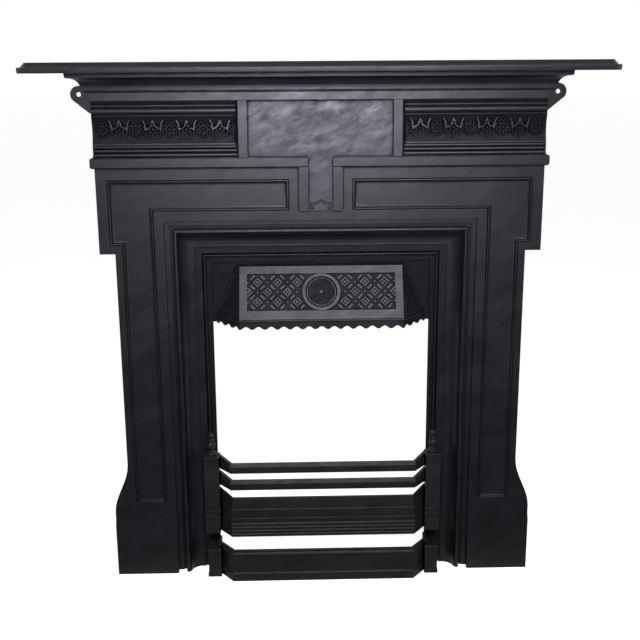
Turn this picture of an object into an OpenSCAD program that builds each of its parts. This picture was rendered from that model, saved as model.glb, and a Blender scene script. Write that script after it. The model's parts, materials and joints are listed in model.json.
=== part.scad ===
/* [Mantel] */
// Width of the mantel casting over its wings and plinths
mantel_w = 965; // [945:5:1000]
// Height from the hearth to the top of the shelf
mantel_h = 1169; // [1155:1:1190]
// Depth from the wall to the face of the jambs
mantel_d = 50; // [46:1:70]
// Wall thickness of the side returns and the top flange
wall = 7; // [5:0.5:9]
// Thickness of the cast face behind its flat parts
face_t = 9; // [8:0.5:12]
// Width of the opening between the jambs
opening_w = 682; // [666:2:690]
// Height of the opening under the lintel
opening_h = 836; // [820:1:846]
// Width over the two jambs below the wings
jambs_w = 897; // [880:1:910]
// Height of the underside of the wings
wing_z = 765; // [745:5:775]
// Height of the plinth blocks
plinth_h = 139; // [125:1:150]
// Height of the bevel on top of the plinth
plinth_bevel = 16; // [8:1:20]
// How far the plinth stands proud of the jamb
plinth_proud = 6; // [3:0.5:8]
// Height over which the jamb flares out to the plinth
flare_h = 120; // [90:5:140]
// Height of the belt band under the frieze
belt_h = 23; // [18:1:26]
// How far the belt and the crown band stand proud of the jambs
band_proud = 8; // [6:0.5:10]
// Height of the frieze between the belt and the crown band
frieze_h = 117; // [112:1:124]
// Height of the flat crown band
crown_h = 19; // [15:1:22]
// Height of the cornice from the crown band to the shelf
cornice_h = 39; // [36:0.5:43]
// Height of the fillet at the cornice's top edge
cornice_fillet = 9; // [7:0.5:11]
// How far the cornice reaches out from the jamb face
cornice_out = 42.5; // [38:0.5:50]

/* [Panels] */
// Plain border between the opening and the sunk panels
panel_border = 21; // [18:1:24]
// Plain margin outside the panels on the jambs
jamb_margin = 15.5; // [12:0.5:20]
// Plain margin outside the panels on the wings
wing_margin = 23.5; // [20:0.5:28]
// Plain margin between the belt and the panels
top_margin = 25; // [20:1:30]
// Plain margin between the plinth and the panels
foot_margin = 37; // [30:1:45]
// Width of the moulding round a sunk panel
panel_mould_w = 11; // [9:0.5:14]
// Depth of the sunk panel fields
panel_sink = 5; // [4:0.5:5.5]
// Width of the bar of the T panel
t_bar_w = 310; // [290:5:320]
// Width of the stem of the T panel
t_stem_w = 54; // [48:1:60]
// Width of the raised border beside the T panel
t_border_w = 20; // [16:1:24]
// Depth of the T panel below its border
t_sink = 5; // [3:0.5:6]
// Width of the tab at the foot of the T panel
tab_w = 29; // [24:1:32]
// Height of the tab at the foot of the T panel
tab_h = 20; // [16:1:24]

/* [Frieze ornament] */
// Distance between two rosettes of the frieze
motif_pitch = 70.75; // [64:0.25:72]
// Crowns on each side of the frieze
motif_count = 4; // [3:1:4]
// Distance of the outermost rosette from the wing's edge
motif_margin = 22.5; // [20:0.5:30]
// Diameter of a frieze rosette
rosette_d = 35; // [30:1:37]
// Petals of a rosette
petals = 8; // [6:1:10]

/* [Wall lugs] */
// Distance between the holes of the two wall lugs
lug_span = 1030; // [1020:1:1060]
// Diameter of the lug's screw hole
lug_hole_d = 10; // [8:0.5:12]
// Outer radius of a lug
lug_r = 18; // [15:0.5:20]
// Thickness of a lug
lug_t = 6; // [5:0.5:8]
// Height of the lug holes below the shelf
lug_drop = 44; // [41:0.5:49]

/* [Shelf] */
// Length of the shelf
shelf_w = 1212; // [1180:4:1300]
// Thickness of the shelf
shelf_t = 21; // [18:0.5:27]
// Reach of the shelf's front edge from the jamb face
shelf_reach = 110; // [95:1:125]
// Size of the corner chamfer of the shelf
shelf_chamfer = 14; // [12:1:18]
// Setback of the shelf's top from its rounded lower edge
shelf_step = 15; // [12:0.5:16]
// Diameter of the bolts that hold the shelf
shelf_bolt_d = 8; // [6:0.5:10]

/* [Insert frame] */
// Width of the insert's moulding inside the mantel opening
frame_w = 97; // [92:0.5:100]
// Width of the hidden flange behind the mantel
flange_w = 31; // [28:1:34]
// Thickness of the insert's flange and flats
frame_t = 6; // [5:0.5:7]
// Depth of the insert's inner flat behind the jamb face
inner_y = 38; // [36:0.5:40]
// Thickness of the insert at its inner flat
inner_t = 8; // [7:0.5:9]
// Diameter of the fixing screws behind the castings
screw_d = 6; // [5:0.5:7]
// Height of the lowest side screw
screw_low = 90; // [70:5:120]
// Distance of the highest side screw below the top of the opening
screw_high = 60; // [40:5:80]

/* [Hood] */
// Width of the hood's leaning front plate
hood_w = 363; // [345:1:370]
// Distance from the insert's top edge down to the hood's top ledge
hood_drop = 10.5; // [8:0.5:14]
// Height of the leaning front plate
hood_h = 106; // [98:1:112]
// Depth of the hood's bottom edge in front of the jamb face
hood_reach = 20; // [14:1:22]
// Depth of the hood's top edge behind the jamb face
hood_top_y = 34; // [31:0.5:35]
// Sideways spread of the cheeks for each millimetre of depth
cheek_spread = 0.82; // [0.75:0.01:0.84]
// Wall thickness of the hood
hood_t = 5; // [4:0.5:6]
// Width of the plain border round the hood's ornament
hood_border = 17; // [14:1:20]
// Depth of the hood's sunk ornament field
hood_sink = 2.2; // [1.5:0.1:2.5]
// Height of the scalloped valance
valance_h = 26.5; // [22:0.5:30]
// Depth of the scallops
scallop_depth = 7; // [4:0.5:9]
// Scallops across the front of the valance
scallops = 13; // [9:2:15]
// Outer diameter of the hood's ring
ring_d = 85; // [76:1:88]
// Width of the ring's band
ring_band = 7; // [5:0.5:9]
// Side of a diamond of the hood's lattice
diamond = 15.4; // [13:0.2:17]
// Distance between two diamonds of the lattice
lattice_pitch = 44; // [42:0.5:46]
// Distance of the outer rows of the lattice from its middle row
lattice_row = 22.5; // [20:0.5:24]
// Distance of the first diamonds from the middle of the ring
lattice_in = 53; // [51:0.5:56]
// Length of a slanted bar between two diamonds
lattice_bar = 13; // [9:0.5:15]
// Width of a slanted bar between two diamonds
lattice_bar_w = 4.5; // [3:0.25:5.5]

/* [Throat] */
// Width of the throat plate
throat_w = 320; // [300:5:340]
// Distance from the jamb face back to the throat plate's rear edge
throat_back = 170; // [164:1:190]
// Thickness of the throat plate
throat_t = 6; // [5:0.5:8]
// Width of the smoke opening
vent_w = 260; // [240:5:270]
// Depth of the smoke opening
vent_d = 66; // [60:1:68]
// Overlap of the damper over the edges of the smoke opening
vent_lap = 6; // [4:0.5:8]
// Thickness of the damper flap
flap_t = 5; // [4:0.5:6]
// Diameter of the damper's hinge pin
pin_d = 8; // [6:0.5:9]

/* [Fire front] */
// Reach of the bars in front of the jamb face
bar_reach = 50; // [46:0.5:54]
// Half width of the straight part of the bars
bar_corner = 211; // [204:1:213]
// Sideways spread of the canted ends for each millimetre of depth
bar_spread = 0.55; // [0.5:0.01:0.6]
// Thickness of the bars
bar_t = 10; // [8:0.5:10.5]
// Height of a bar
bar_h = 24; // [18:0.5:24.5]
// How much deeper the bars and the apron are at the posts
end_drop = 8; // [4:0.5:9]
// Bottom of the top bar
bar_top_z = 267.5; // [262:0.5:272]
// Bottom of the lower bar
bar_low_z = 227; // [224:0.5:232]
// Bottom of the reeded apron
apron_z = 112; // [106:1:116]
// Height of the reeded apron
apron_h = 96; // [86:1:98]
// Width of an end post
post_w = 34; // [30:1:36]
// Depth of an end post
post_d = 32; // [31.5:0.5:34]
// Height of the lower ring round an end post
post_ring_z = 144; // [136:1:146]
// Distance between the two rings round an end post
post_ring_gap = 14; // [12:1:16]
// Gap between the insert's inner edge line and the post's inner side
post_in = 5; // [4:0.5:8]
// Height of the turned finial
finial_h = 54; // [46:1:60]
// Diameter of the finial's spigot
spigot_d = 9; // [8:0.5:10]
// Height of the hook pockets' rim
hook_z = 255; // [245:1:262]
// Width of a hook
hook_w = 7; // [6:0.5:7.5]
// Thickness of a hook
hook_t = 5; // [4:0.25:5]
// Drop of a hook into its pocket
hook_drop = 18; // [14:1:20]

/* [Grate] */
// Width of the bottom grate
grate_w = 380; // [370:2:388]
// Depth of the bottom grate
grate_d = 151; // [145:1:153]
// Thickness of the bottom grate
grate_t = 14.7; // [12:0.5:16]
// Top of the ledges that carry the grate
ledge_z = 110; // [104:1:111]
// Width of a slot between the grate's bars
slot_w = 12; // [10:0.5:14]
// Width of one grate bar
grate_bar_w = 11; // [9:0.5:13]
// Width of a bearer's ledge
ledge_w = 61; // [56:1:64]
// Thickness of a bearer's ledge
ledge_t = 6; // [5:0.5:8]

/* [Ash front] */
// Height of the ash front
ash_h = 77; // [70:1:84]
// Half width of the straight part of the ash front
ash_corner = 210; // [202:1:211]
// Sideways spread of the ash front's canted ends for each millimetre of depth
ash_spread = 0.75; // [0.6:0.01:0.8]
// Width of an end block of the ash front
ash_block_w = 29; // [24:1:32]
// Height of an end block of the ash front
ash_block_h = 69; // [60:1:76]
// Reach of the end blocks in front of the jamb face
ash_block_reach = 24; // [18:1:28]

/* [Fits] */
// Gap between a loose piece and the seat that carries it
seat_gap = 0.3; // [0.2:0.05:0.5]
// Radial clearance of the damper pin
pin_clear = 0.06; // [0.04:0.01:0.1]
// Radial clearance of a screw in its hole
thread_clear = 0.1; // [0.06:0.01:0.2]
// Clearance of a hook in its pocket
hook_clear = 1; // [0.6:0.1:1.2]

/* [Hidden] */
$fn = 40;
iron = [0.15, 0.145, 0.155];
steel = [0.42, 0.42, 0.43];
cut = 1;                                  // overrun of a cutting shape past the face it opens
bite = 2;                                 // overlap of two shapes that are cast as one
// Half widths and levels of the mantel
wing_x = mantel_w / 2;
jamb_x = jambs_w / 2;
open_x = opening_w / 2;
shelf_z = mantel_h - shelf_t;
crown_z1 = shelf_z - cornice_h;
crown_z0 = crown_z1 - crown_h;
frieze_z = crown_z0 - frieze_h;
belt_z = frieze_z - belt_h;
panel_z1 = belt_z - top_margin;
panel_z0 = plinth_h + foot_margin;
lintel_z = opening_h + panel_border;
flare_z = plinth_h + plinth_bevel;
stem_x = t_stem_w / 2 + t_border_w;
bar_x = t_bar_w / 2;
end_x = bar_x + t_border_w;               // inner end of the frieze
frieze_bevel = 8;
lip_t = 3;                                // pad behind the face that the insert bears on
lip_y = face_t + lip_t;
shift_y = (shelf_reach - throat_back) / 2;
// Insert
in_x = open_x - frame_w;
in_z = opening_h - frame_w;
inner_back = inner_y + inner_t;
flat_w = 21;                              // width of the insert's flat back at its inner edge
screw_in = 16;                            // distance of the screw row outside the opening edge
// Depth of the insert's shallow slope at distance x from the middle, and of its inner lip
slope_y0 = 30;
slope_y1 = 34;
slope_w = 16 + frame_w - 97;
lip_rise = 1.4;
// Hood
hood_x = hood_w / 2;
hood_z1 = in_z - hood_drop;
hood_z0 = hood_z1 - hood_h;
valance_z = hood_z0 - valance_h;
hood_slope = (hood_reach + hood_top_y) / hood_h;
hood_back = inner_back + frame_t;
hood_len = norm([hood_h, hood_reach + hood_top_y]);
hood_lean = atan(hood_slope);
leaf_x = hood_x + 34;                     // middle of the leaf on the hood's flange
leaf_z = hood_z1 - 27;
flange_x = in_x + flat_w - 1;
flange_z1 = in_z + flat_w;
row_z = in_z + flat_w / 2;                // height of the screw row over the opening
// Throat
vent_y1 = throat_back - 25;
vent_y0 = vent_y1 - vent_d;
plate_z = in_z + 1;                       // top of the horizontal throat plate
pivot_y = throat_back - 12;
pivot_z = plate_z + seat_gap + flap_t + pin_d / 2;
ear_t = 8;
ear_x = vent_w / 2 + vent_lap + 4;
// Fire front and ash front
post_x = in_x - post_in;
post_y0 = -8;
post_y1 = post_y0 + post_d;
post_z0 = apron_z - end_drop - 1.5;
post_z1 = bar_top_z + bar_h + 1;
finial_r = 9;
spigot_h = 14;
hook_x = in_x + 7;
pocket_wall = 2;
hook_y = inner_y - 3 - hook_t;
// Grate
grate_y0 = 4 + bar_t - bar_reach + 2;
ledge_x = 175;
ledge_cant = 24;                          // how far a ledge's front corner is cut back
bearer_up = 22;                           // reach of a bearer's flange above and below its ledge
bearer_down = 18;
bearer_bolt_x = in_x + 11;

// Arc from point a to point b that swells to the left of the way by rise
function arc(a, b, rise, n = 6) = let (c = b - a, l = norm(c), u = c / l, v = [-u.y, u.x],
    h = 2 * atan(2 * abs(rise) / l), r = l / (2 * sin(h)), s = sign(rise))
    [for (i = [0:n]) let (f = (2 * i / n - 1) * h)
        a + u * (l / 2 + r * sin(f)) + v * s * r * (cos(f) - cos(h))];
function slope_y(x) = slope_y0 + (slope_y1 - slope_y0) * (open_x - x - 60) / slope_w;
function mirrored(path) = [for (i = [len(path) - 1:-1:0]) [-path[i].x, path[i].y]];
// Path round three sides of a thing that stands against the wall
function u_path(hw, front, back) = [[-hw, back], [-hw, front], [hw, front], [hw, back]];

module place() { translate([0, shift_y, 0]) children(); }
module both_sides() {
    children();
    mirror([1, 0, 0]) children();
}
// Front outline, drawn in X and Z, made solid from depth y0 to y1
module plate(y0, y1) {
    translate([0, y1, 0]) rotate([90, 0, 0]) linear_extrude(y1 - y0) children();
}
module block(x0, x1, y0, y1, z0, z1) {
    translate([x0, y0, z0]) cube([x1 - x0, y1 - y0, z1 - z0]);
}
// Section, drawn in Y and Z, run along X from x0 to x1
module along_x(x0, x1) {
    translate([x0, 0, 0]) rotate([90, 0, 90]) linear_extrude(x1 - x0) children();
}
// Bar along Y, for holes, screws and bosses
module rod_y(x, z, r, y0, y1) {
    translate([x, y1, z]) rotate([90, 0, 0]) cylinder(h = y1 - y0, r = r);
}
// Upright plane from plan point a towards b: local x runs along it and local y up
module upright(a, b) {
    translate([a.x, a.y, 0]) rotate([90, 0, atan2(b.y - a.y, b.x - a.x)]) children();
}
// Closed skin over rings of points, each ring clockwise when seen from the next one
module skin(rings) {
    n = len(rings[0]);
    last = len(rings) - 1;
    polyhedron([for (r = rings) for (p = r) p], concat([[for (j = [n - 1:-1:0]) j]],
        [for (i = [0:last - 1]) for (j = [0:n - 1]) let (k = (j + 1) % n)
            [i * n + j, i * n + k, (i + 1) * n + k, (i + 1) * n + j]],
        [[for (j = [0:n - 1]) last * n + j]]));
}
// Rings of a moulding with canted corners, between two paths that lie reach apart
// and drop deeper at both ends
function canted(outer, inner, reach, z, profile, drop = 0) = let (last = len(outer) - 1,
    h = max([for (p = profile) p.y]))
    [for (i = [0:last]) let (deeper = i == 0 || i == last ? drop : 0)
        [for (p = profile) let (q = outer[i] + (inner[i] - outer[i]) * p.x / reach)
            [q.x, q.y, z + p.y - deeper * (1 - p.y / h)]]];
// Moulding whose profile, drawn in distance inward and height, follows square mitred corners
module mitred(outer, inner, profile, low, high) {
    over = 3 * norm(outer[0] - inner[0]);
    for (i = [0:len(outer) - 2])
        intersection() {
            translate([0, 0, low - cut]) linear_extrude(high - low + 2 * cut)
                polygon([outer[i], outer[i + 1], inner[i + 1], inner[i]]);
            run(outer[i], outer[i + 1], over) polygon(profile);
        }
}
module run(a, b, over) {
    d = (b - a) / norm(b - a);
    multmatrix([[-d.y, 0, d.x, a.x - d.x * over], [d.x, 0, d.y, a.y - d.y * over], [0, 1, 0, 0]])
        linear_extrude(norm(b - a) + 2 * over) children();
}

// ---- mantel casting ----
function flare(inset) = [for (i = [0:8]) let (t = i / 8)
    [jamb_x + (wing_x - jamb_x) * (1 + cos(180 * t)) / 2 - inset, flare_z + flare_h * t]];
function half_outline(inset, z0, z1) = concat([[wing_x - inset, z0]], flare(inset),
    [[jamb_x - inset, wing_z + inset], [wing_x - inset, wing_z + inset], [wing_x - inset, z1]]);
function outline(inset, z0, z1) =
    concat(half_outline(inset, z0, z1), mirrored(half_outline(inset, z0, z1)));
// Right-hand sunk panel, an upside-down L
function panel(i) = let (x0 = stem_x + panel_border + i, x1 = open_x + panel_border + i,
    x2 = jamb_x - jamb_margin - i, x3 = wing_x - wing_margin - i, z1 = lintel_z + i)
    [[x0, z1], [x1, z1], [x1, panel_z0 + i], [x2, panel_z0 + i], [x2, wing_z + 18 + i],
     [x3, wing_z + 18 + i], [x3, panel_z1 - i], [x0, panel_z1 - i], [x0, z1]];
panel_profile = concat([[0, -panel_sink - 1], [0, 0], [1.5, -2]], arc([1.5, -1], [5.5, -1], 2.2),
    arc([5.8, -2.2], [panel_mould_w, -panel_sink + 0.4], -0.9), [[panel_mould_w, -panel_sink - 1]]);
// Distance of the frieze's hollow below the crown band
frieze_top = 31.5;
// Section of the frieze in Y and Z, from the belt up to the crown band
frieze_profile = concat([[mantel_d, frieze_z]], arc([-1, frieze_z], [-1, frieze_z + 9.5], 4),
    arc([-1, frieze_z + 10], [-1, frieze_z + 18], 3.5),
    arc([-1, frieze_z + 18.5], [-1, frieze_z + 25.5], 3),
    [[-2.5, frieze_z + 26], [-2.5, frieze_z + 29]],
    arc([-1.5, frieze_z + 29.5], [-1.5, crown_z0 - frieze_top], -5, 10),
    arc([-1, crown_z0 - 31], [-1, crown_z0 - 28], 1.4, 4),
    [[0.8, crown_z0 - 27.3], [0.8, crown_z0 - 26.3]],
    arc([-1.8, crown_z0 - 25.8], [-1.8, crown_z0 - 14.8], 2),
    [[0.2, crown_z0 - 14.2], [0.2, crown_z0 - 12.8]],
    arc([-2.2, crown_z0 - 12.2], [-2.2, crown_z0 - 6.8], 1.2, 4),
    [[-0.8, crown_z0 - 6], [-3, crown_z0 - 2.5], [-5, crown_z0 - 1],
     [-5, crown_z0 + 1], [mantel_d, crown_z0 + 1]]);
crown_profile = concat([[mantel_d, crown_z0], [-band_proud + 1, crown_z0],
    [-band_proud, crown_z0 + 1.5], [-band_proud, crown_z1 - 1], [-band_proud + 1.5, crown_z1],
    [-band_proud + 1.5, crown_z1 + 4]], [[0, crown_z1 + 5], [0, shelf_z], [mantel_d, shelf_z]]);
// Cornice: fillet, hollow and the hollow's steep foot
cove_in = [5.5, cornice_h - cornice_fillet - 1.5];
cove_foot = [cornice_out - 16.3, 13.5];
cornice_profile = concat([[0, cornice_h], [0.8, cornice_h - cornice_fillet]],
    arc(cove_in, cove_foot, 0.18 * norm(cove_foot - cove_in), 8),
    arc(cove_foot + [0.1, -0.6], [cornice_out - 15.5, 3.5], 0.2, 4),
    [[cornice_out + bite, 3.5], [cornice_out + bite, cornice_h]]);
belt_profile = concat([[band_proud + bite, 0]], arc([2.5, 0], [0, 2.5], -0.7, 3),
    arc([0, belt_h - 2.5], [2.5, belt_h], -0.7, 3), [[band_proud + bite, belt_h]]);

module cornice() {
    translate([0, 0, crown_z1])
        mitred(u_path(wing_x + cornice_out, -cornice_out, mantel_d),
            u_path(wing_x - bite, bite, mantel_d), cornice_profile, 0, cornice_h);
}
module belt() {
    translate([0, 0, belt_z])
        mitred(u_path(wing_x + band_proud, -band_proud, mantel_d),
            u_path(wing_x - bite, bite, mantel_d), belt_profile, 0, belt_h);
}
module frieze_half() {
    along_x(end_x, wing_x) polygon(frieze_profile);
    translate([0, 0, frieze_z - 1]) linear_extrude(frieze_h + 2)
        polygon([[bar_x, face_t], [bar_x, -band_proud], [end_x - 1, -band_proud],
            [end_x + frieze_bevel, 0], [end_x + frieze_bevel, face_t]]);
}
// Lens-shaped petal from radius a to radius b, w wide on each side
function petal(a, b, w) = let (side = arc([a, 0], [b, 0], w, 4))
    concat(side, [for (i = [3:-1:1]) [side[i].x, -side[i].y]]);
module ring_shape(outer, inner) {
    difference() {
        circle(outer);
        circle(inner);
    }
}
// Ring of hollow petals
module petal_shapes(inner, outer, w, rim) {
    for (i = [0:petals - 1]) rotate((i + 0.5) * 360 / petals) difference() {
        polygon(petal(inner, outer, w));
        polygon(petal(inner + rim, outer - rim, w - rim + 0.3));
    }
}
// Raised rosettes with a crown between each two, cast on the hollow of the frieze
module frieze_ornament() {
    mid_z = (frieze_z + 29.5 + crown_z0 - frieze_top) / 2 + 1;
    x0 = wing_x - motif_margin;
    for (i = [0:motif_count]) translate([x0 - i * motif_pitch, 0, mid_z]) {
        rod_y(0, 0, 3, -3, face_t);
        plate(-2, face_t) ring_shape(8, 5.6);
        plate(-1.4, face_t) petal_shapes(7, rosette_d / 2, 4.6, 2.3);
    }
    for (i = [0:motif_count - 1]) translate([x0 - (i + 0.5) * motif_pitch, 0, mid_z]) {
        rod_y(0, 0, 2.8, -2.4, face_t);
        plate(-2.2, face_t) crown_shape();
        plate(-1.2, face_t) crown_foot();
    }
}
// Crown: a gabled spike between two prongs, all linked in a zigzag
module crown_shape() {
    difference() {
        polygon([[-8, 4], [-0.8, 20], [0.8, 20], [8, 4]]);
        polygon([[-5, 3], [0, 14], [5, 3]]);
    }
    for (side = [0, 1]) mirror([side, 0]) {
        polygon([[7, 3], [7.5, 7], [16.5, 1.5], [15.5, -2]]);
        polygon(concat(arc([22.8, 20], [17.8, -1], -1.8, 4), [[15, -2]],
            arc([14.6, -1], [20, 20], 1.8, 4)));
    }
}
// Lower part of a crown, in less relief: a ring, a drop and the prongs' curled ends
module crown_foot() {
    ring_shape(9, 6.4);
    rotate(-90) polygon(petal(8, 22, 3));
    for (side = [0, 1]) mirror([side, 0])
        polygon(concat(arc([17, -1], [12, -19], 2, 3), arc([10.5, -17.5], [14.8, -1], -1.6, 3)));
}
module t_field() {
    translate([-t_stem_w / 2, lintel_z]) square([t_stem_w, crown_z0 - lintel_z]);
    translate([-bar_x, frieze_z]) square([t_bar_w, frieze_h]);
}
// Round-headed tab and the sunk margin that sets it off
module tab_outline(half, top) {
    polygon(concat([[half, lintel_z - cut]], arc([half, lintel_z + top - 8],
        [0, lintel_z + top], 2.5, 5), arc([0, lintel_z + top], [-half, lintel_z + top - 8], 2.5, 5),
        [[-half, lintel_z - cut]]));
}
module lug() {
    x = lug_span / 2;
    z = shelf_z - lug_drop;
    difference() {
        plate(mantel_d - lug_t, mantel_d) {
            translate([x, z]) circle(lug_r);
            polygon([[wing_x - bite, z + lug_r], [x, z + lug_r], [x + lug_r * 0.75, z - lug_r * 0.66],
                [wing_x + 14, z - 38], [wing_x - bite, z - 46]]);
        }
        rod_y(x, z, lug_hole_d / 2, mantel_d - lug_t - cut, mantel_d + cut);
    }
}
module shelf_bolt_places() {
    for (x = [-0.72, -0.28, 0.28, 0.72] * wing_x)
        translate([x, mantel_d - 20, 0]) children();
}
module side_screw_places() {
    for (z = [screw_low, opening_h / 2, opening_h - screw_high])
        translate([open_x + screw_in, 0, z]) children();
    translate([open_x / 3, 0, opening_h + screw_in - 2]) children();
}
module mantel_front() {
    color(iron) place() difference() {
        union() {
            mantel_shell();
            both_sides() {
                frieze_ornament();
                lug();
                plinth();
            }
        }
        block(-open_x, open_x, -band_proud - 20, mantel_d + cut, -cut, opening_h);
        shelf_bolt_places() translate([0, 0, shelf_z - wall - cut])
            cylinder(h = wall + 2 * cut, r = shelf_bolt_d / 2 + thread_clear);
        both_sides() side_screw_places()
            rod_y(0, 0, screw_d / 2 + thread_clear, lip_y - 7, lip_y + cut);
    }
}
module plinth() {
    along_x(open_x, wing_x) polygon([[face_t, 0], [-plinth_proud, 0],
        [-plinth_proud, plinth_h - plinth_bevel], [0, plinth_h], [face_t, plinth_h]]);
}
module mantel_shell() {
    difference() {
        union() {
            plate(0, mantel_d) polygon(outline(0, 0, frieze_z + 1));
            both_sides() frieze_half();
            along_x(-wing_x, wing_x) polygon(crown_profile);
            block(-end_x, end_x, -band_proud + t_sink, mantel_d, frieze_z, crown_z0 + 1);
            both_sides() block(t_stem_w / 2, stem_x, -band_proud, face_t, lintel_z, belt_z + 1);
            block(-stem_x, stem_x, -band_proud + t_sink, face_t, lintel_z, frieze_z);
            cornice();
            belt();
        }
        plate(-band_proud - cut, -band_proud + t_sink) t_field();
        difference() {
            plate(-band_proud, -band_proud + t_sink + 2.5) intersection() {
                tab_outline(tab_w / 2 + 8, tab_h + 6);
                translate([-t_stem_w, lintel_z + 2]) square([2 * t_stem_w, 2 * tab_h]);
            }
            plate(-band_proud - cut, face_t) tab_outline(tab_w / 2, tab_h);
        }
        both_sides() plate(-cut, panel_sink) polygon(panel(0));
        plate(lip_y, mantel_d + cut) polygon(outline(wall, -cut, shelf_z - wall));
        difference() {
            plate(face_t, mantel_d) polygon(outline(wall, -cut, shelf_z - wall));
            block(-open_x - flange_w, open_x + flange_w, 0, lip_y, -2 * cut, opening_h + flange_w);
        }
    }
    both_sides() rotate([90, 0, 0])
        mitred(panel(0), panel(panel_mould_w), panel_profile, -panel_sink - 1, 3);
}

// ---- shelf ----
function shelf_path(i) = let (hw = shelf_w / 2 - i, f = i - shelf_reach,
    c = shelf_chamfer - i * (2 - sqrt(2)))
    [[-hw, mantel_d], [-hw, f + c], [-hw + c, f], [hw - c, f], [hw, f + c], [hw, mantel_d]];
module mantel_shelf() {
    bead = shelf_t * 0.57;
    // Edge from the top down: sloping upper lip, then the lower bead with its rounded shoulder
    profile = concat([[shelf_step, shelf_t], [shelf_step - 6.5, bead + 1], [shelf_step - 8, bead]],
        arc([3.2, bead - 0.4], [0.3, bead - 3], -0.8, 4), [[1.2, 0.5], [1.8, 0]]);
    color(iron) place() difference() {
        skin([for (p = profile) [for (q = shelf_path(p.x)) [q.x, q.y, shelf_z + p.y]]]);
        shelf_bolt_places() translate([0, 0, shelf_z - cut])
            cylinder(h = 13 + cut, r = shelf_bolt_d / 2 + thread_clear);
    }
}
washer_t = 1.6;
head_h = 5;
module shelf_bolts() {
    color(steel) place() shelf_bolt_places() translate([0, 0, shelf_z - wall]) {
        translate([0, 0, -washer_t - head_h]) cylinder(h = head_h, r = shelf_bolt_d * 0.85, $fn = 6);
        translate([0, 0, -washer_t - 1]) cylinder(h = washer_t + wall + 12, r = shelf_bolt_d / 2);
    }
}
module shelf_washers() {
    color(steel) place() shelf_bolt_places() translate([0, 0, shelf_z - wall - washer_t])
        ring(shelf_bolt_d / 2, shelf_bolt_d, washer_t);
}
module ring(r, outer, t) {
    difference() {
        cylinder(h = t, r = outer);
        translate([0, 0, -cut]) cylinder(h = t + 2 * cut, r = r + thread_clear);
    }
}
// Hexagon-headed screw that enters towards the viewer from the plane y
module back_screw(y, gap, grip) {
    translate([0, y + gap + head_h, 0]) rotate([90, 0, 0])
        cylinder(h = head_h, r = screw_d * 0.9, $fn = 6);
    rod_y(0, 0, screw_d / 2, y - grip, y + gap + 1);
}

// ---- insert frame ----
cove_r = 27;
cove_u = 57;
slope_u = 60 + slope_w;                    // foot of the shallow slope
// Section of the insert: distance in from the opening edge, and depth as a negative height
insert_profile = concat([[0, -lip_y], [flange_w + 11, -lip_y], [flange_w + 11, -15],
    [flange_w + 18, -15]], arc([flange_w + 18.5, -5], [flange_w + 28, -5], 5.6, 8),
    [for (i = [0:7]) let (a = i * 90 / 7)
        [flange_w + cove_u - cove_r * cos(a), -3 - (cove_r - 1) * sin(a)]],
    [[flange_w + cove_u, -27], [flange_w + 60, -27], [flange_w + 60, -slope_y0],
     [flange_w + slope_u, -slope_y1], [flange_w + slope_u, -inner_y],
     [flange_w + slope_u + 4, -inner_y]], arc([flange_w + slope_u + 4, -slope_y1],
    [flange_w + slope_u + 8, -slope_y1], lip_rise, 4), [[flange_w + slope_u + 8, -inner_y],
     [flange_w + frame_w, -inner_y], [flange_w + frame_w, -inner_back],
     [flange_w + frame_w - flat_w, -inner_back], [flange_w + cove_u + 3, -37]],
    [for (i = [4:-1:1]) let (a = i * 90 / 4.5)
        [flange_w + cove_u - (cove_r + 6) * cos(a), -3 - (cove_r + 6) * sin(a)]],
    [[flange_w + 15, -lip_y - frame_t - 2], [flange_w + 11, -lip_y - frame_t],
     [0, -lip_y - frame_t]]);
// The path runs up the right leg first so that inward lies to its left
function frame_path(u) = let (x = open_x + flange_w - u, z = opening_h + flange_w - u)
    [[x, 0], [x, z], [-x, z], [-x, 0]];
module pocket() {
    x0 = hook_x - hook_w / 2 - hook_clear;
    x1 = hook_x + hook_w / 2 + hook_clear;
    y0 = hook_y - hook_clear;
    floor_z = hook_z - hook_drop - seat_gap - 2;
    difference() {
        block(x0 - pocket_wall, x1 + pocket_wall, y0 - 3, inner_y + 1, floor_z - 4, hook_z);
        block(x0, x1, y0, inner_y - 1.5, floor_z, hook_z + cut);
    }
}
module insert_frame() {
    color(iron) place() difference() {
        union() {
            rotate([90, 0, 0]) mitred(frame_path(0), frame_path(flange_w + frame_w),
                insert_profile, -inner_back, 4);
            both_sides() pocket();
        }
        both_sides() side_screw_places()
            rod_y(0, 0, screw_d / 2 + thread_clear, lip_y - cut, lip_y + frame_t + 1);
        both_sides() {
            hood_screw_places() tapped();
            throat_screw_places() tapped();
            bearer_bolt_places() tapped();
        }
    }
}
// Blind threaded hole in the insert's back
module tapped() { rod_y(0, 0, screw_d / 2 + thread_clear, inner_back - inner_t + 2, inner_back + cut); }
module insert_screws() {
    color(steel) place() both_sides() side_screw_places()
        back_screw(lip_y + frame_t, washer_t, frame_t + 6);
}
module insert_washers() {
    color(steel) place() both_sides() side_screw_places()
        translate([0, lip_y + frame_t + washer_t, 0]) rotate([90, 0, 0])
            ring(screw_d / 2, screw_d * 1.15, washer_t);
}

// ---- hood ----
function hood_y(z) = (z - hood_z0) * hood_slope - hood_reach;
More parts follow.
